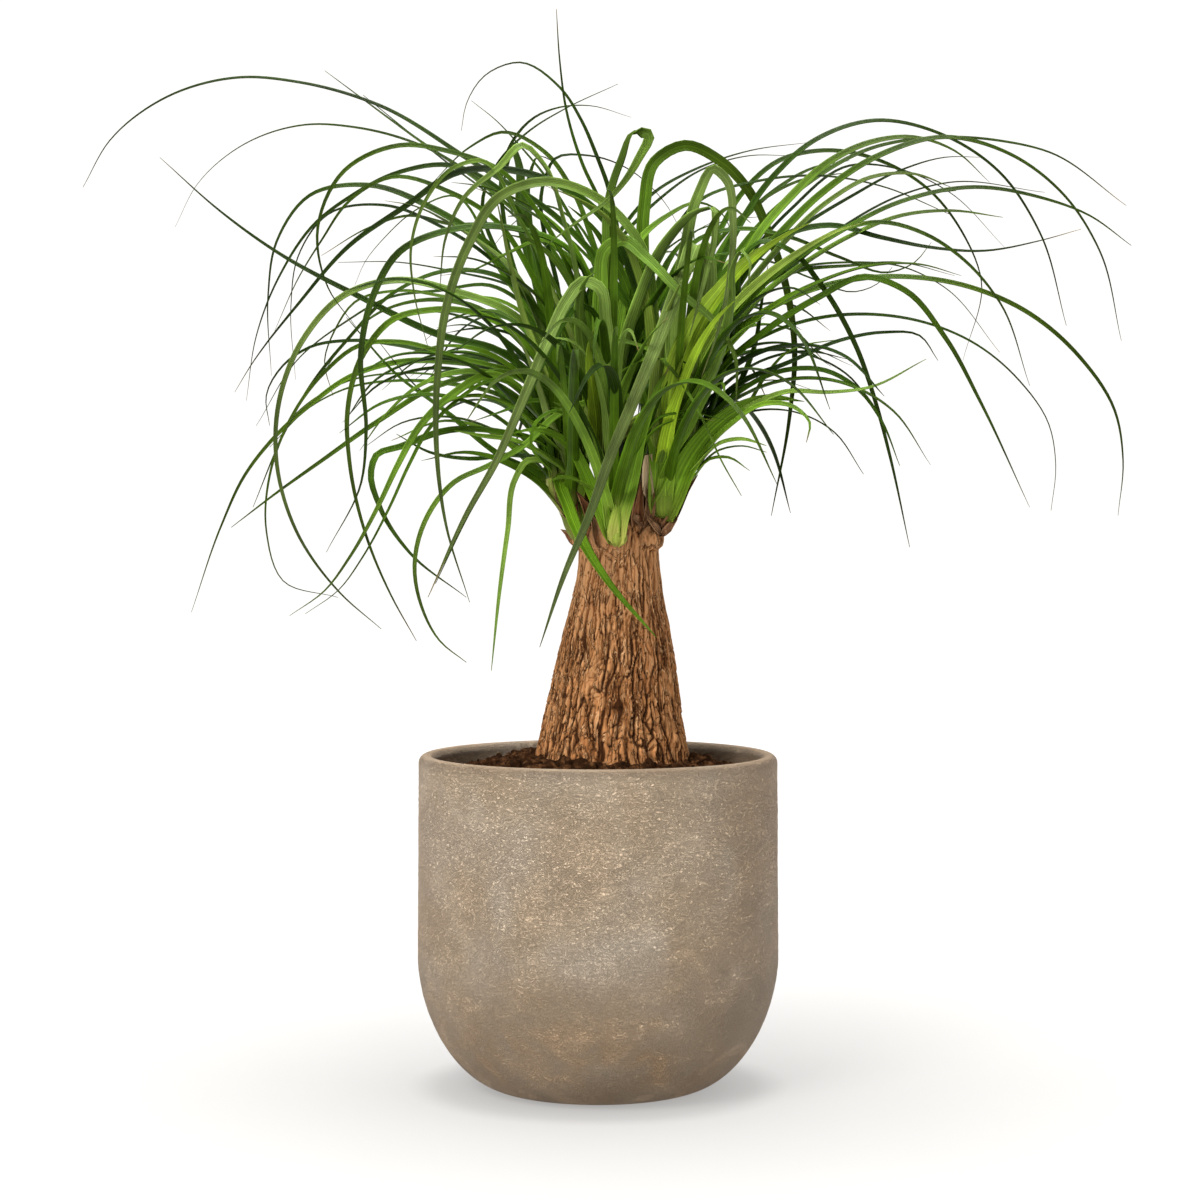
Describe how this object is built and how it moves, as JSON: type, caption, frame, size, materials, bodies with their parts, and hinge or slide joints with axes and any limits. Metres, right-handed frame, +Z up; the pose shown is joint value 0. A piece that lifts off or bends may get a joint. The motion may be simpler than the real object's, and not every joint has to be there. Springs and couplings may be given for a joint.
{
  "type": "potted ponytail palm",
  "caption": "Ponytail palm with a thick corky stem and arching grassy leaf heads, set in soil in a round-bottomed stone pot.",
  "frame": {"origin": "centre of the pot's flat foot, on the surface it stands on", "axes": "+Z up along the pot's axis, -Y to the side that faces the viewer, +X to the viewer's right"},
  "size_m": [0.6487, 0.5764, 0.6486],
  "materials": {
    "pot": "matte",
    "soil": "matte",
    "bark": "matte",
    "leaf": "satin"
  },
  "bodies": {
    "root": {"pot": "pot", "soil": "soil", "trunk": "bark", "head_centre": "leaf", "head_left": "leaf", "head_right": "leaf", "head_front": "leaf", "head_back_left": "leaf", "head_back_right": "leaf"}
  },
  "joints": []
}
